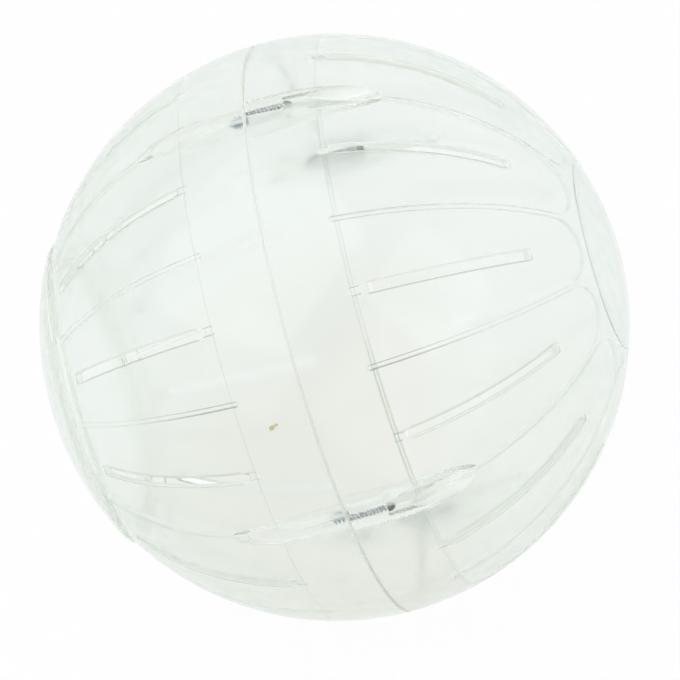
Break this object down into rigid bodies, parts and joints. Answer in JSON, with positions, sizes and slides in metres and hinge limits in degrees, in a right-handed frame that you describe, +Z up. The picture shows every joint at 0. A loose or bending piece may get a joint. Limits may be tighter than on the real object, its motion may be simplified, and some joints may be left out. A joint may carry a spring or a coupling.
{
  "type": "hamster ball",
  "caption": "Clear plastic exercise ball for a hamster: slotted half shells screwed together at a flat seam, with a round domed door that pulls off.",
  "frame": {"origin": "centre of the ball", "axes": "+X along the ball's axis, from the door towards the closed pole; +Z up, through the top screw boss; -Y towards the front screw boss"},
  "size_m": [0.1807, 0.18, 0.18],
  "materials": {
    "clear_shell": "clear polished moulding",
    "clear_door": "clear polished moulding",
    "screw_steel": "zinc plated steel"
  },
  "bodies": {
    "ball": {"closed_half": "clear_shell", "door_half": "clear_shell", "screw_top": "screw_steel", "screw_front": "screw_steel", "screw_bottom": "screw_steel", "screw_back": "screw_steel"},
    "door": {"door": "clear_door"}
  },
  "joints": [
    {"name": "door_pull", "type": "slide", "parent": "ball", "child": "door", "axis": [-1, 0, 0], "range_m": [0, 0.1]}
  ]
}
